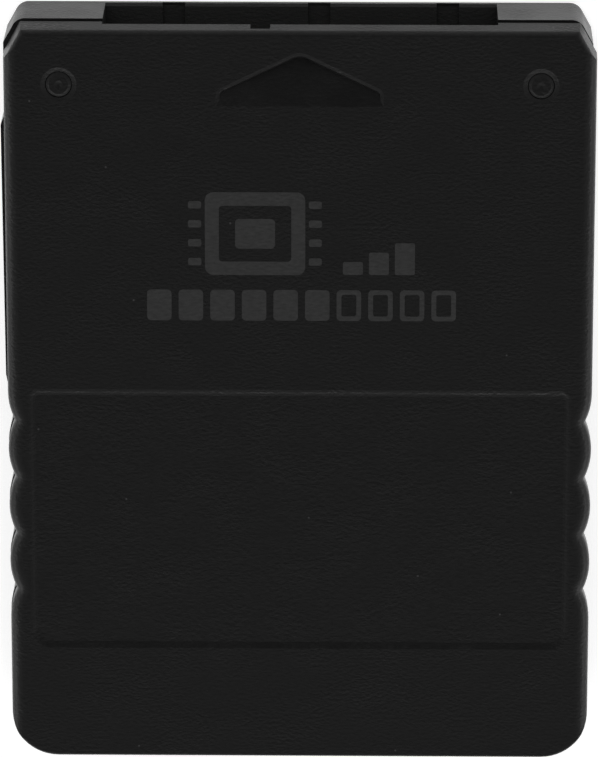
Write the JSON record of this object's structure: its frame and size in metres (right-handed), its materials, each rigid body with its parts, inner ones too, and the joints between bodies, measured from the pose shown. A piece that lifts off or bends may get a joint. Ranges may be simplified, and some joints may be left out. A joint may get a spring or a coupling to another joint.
{
  "type": "console memory card",
  "caption": "Flat rectangular plastic card with wavy finger grips, an arrow recess, a label panel and a contact slot in its end; stores saved games for a console.",
  "frame": {"origin": "middle of the flat back face that the card lies on, midway between the long sides of the upper shell and between the nose and the tail", "axes": "+Y towards the connector end, +Z out of the face with the arrow, +X to the right as seen on that face"},
  "size_m": [0.0423, 0.0548, 0.008],
  "materials": {
    "shell_plastic": "fine moulded texture, black",
    "print_ink": "thin grey pad print",
    "board_laminate": "solder mask over glass laminate",
    "contact_gold": "gold flash",
    "chip_package": "moulded epoxy",
    "tinned_lead": "tin plate",
    "crystal_can": "satin metal can",
    "capacitor_ceramic": "fired ceramic",
    "resistor_ceramic": "glazed ceramic"
  },
  "bodies": {
    "root": {"upper_shell": "shell_plastic", "lower_shell": "shell_plastic", "circuit_board": "board_laminate", "flash_memory_body": "chip_package", "controller_body": "chip_package", "flash_memory_leads": "tinned_lead", "controller_leads": "tinned_lead", "crystal": "crystal_can", "contact_1": "contact_gold", "contact_2": "contact_gold", "contact_3": "contact_gold", "contact_4": "contact_gold", "contact_5": "contact_gold", "contact_6": "contact_gold", "contact_7": "contact_gold", "contact_8": "contact_gold", "capacitor_1": "capacitor_ceramic", "capacitor_2": "capacitor_ceramic", "capacitor_3": "capacitor_ceramic", "capacitor_4": "capacitor_ceramic", "capacitor_5": "capacitor_ceramic", "capacitor_6": "capacitor_ceramic", "resistor_1": "resistor_ceramic", "resistor_2": "resistor_ceramic", "resistor_3": "resistor_ceramic", "resistor_4": "resistor_ceramic", "resistor_5": "resistor_ceramic", "resistor_6": "resistor_ceramic"}
  },
  "joints": []
}
